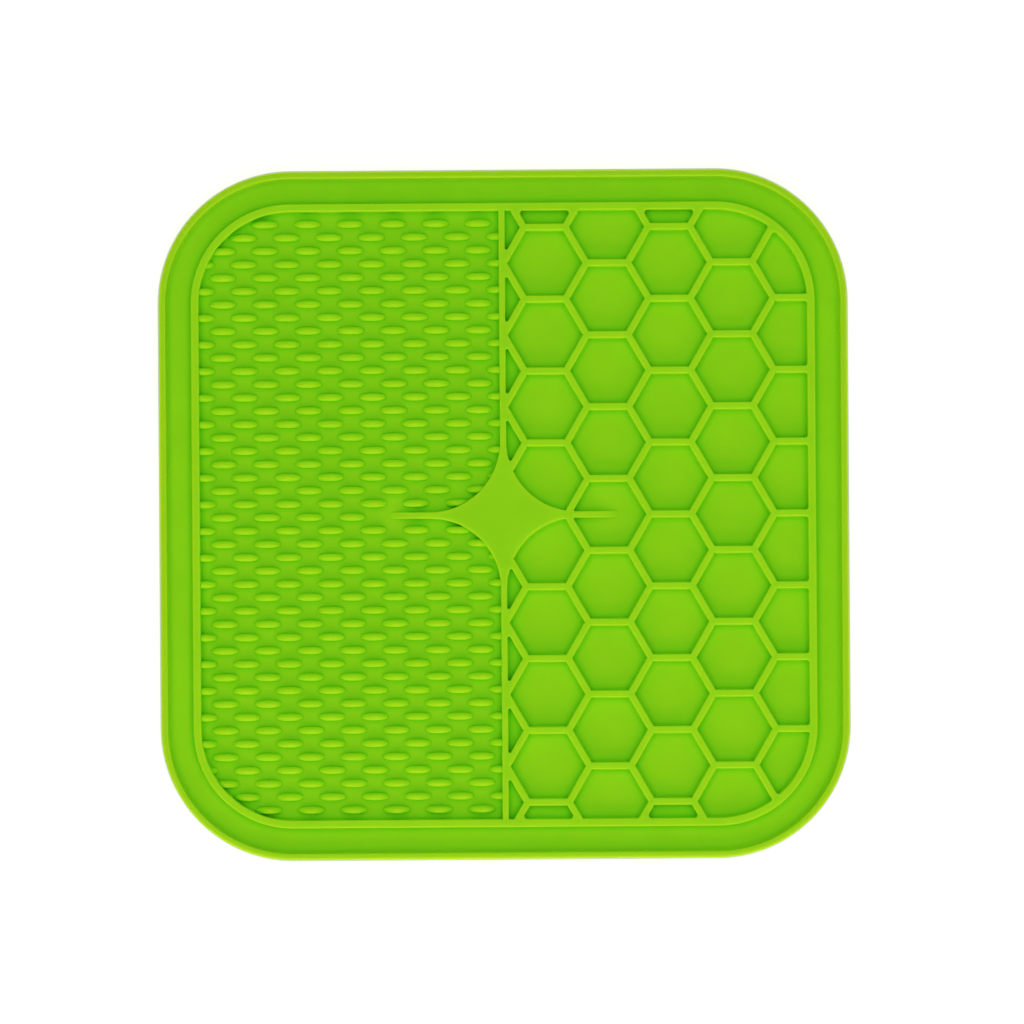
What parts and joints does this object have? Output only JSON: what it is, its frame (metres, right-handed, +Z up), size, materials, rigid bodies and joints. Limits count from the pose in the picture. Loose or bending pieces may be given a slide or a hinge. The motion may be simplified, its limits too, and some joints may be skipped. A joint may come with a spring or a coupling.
{
  "type": "lick mat",
  "caption": "Flat square silicone lick mat with rounded corners, a raised rim and gutter, a field of short dashes, a honeycomb field and a star at the middle.",
  "frame": {"origin": "centre of the flat underside, on the surface that the mat lies on", "axes": "+Z up out of the textured face, +X across the honeycomb half, +Y along the dividing rib, so the dashes fill the -X half"},
  "size_m": [0.2, 0.2, 0.0048],
  "materials": {
    "silicone": "satin lime green silicone, slightly translucent"
  },
  "bodies": {
    "root": {"lick_mat": "silicone"}
  },
  "joints": []
}
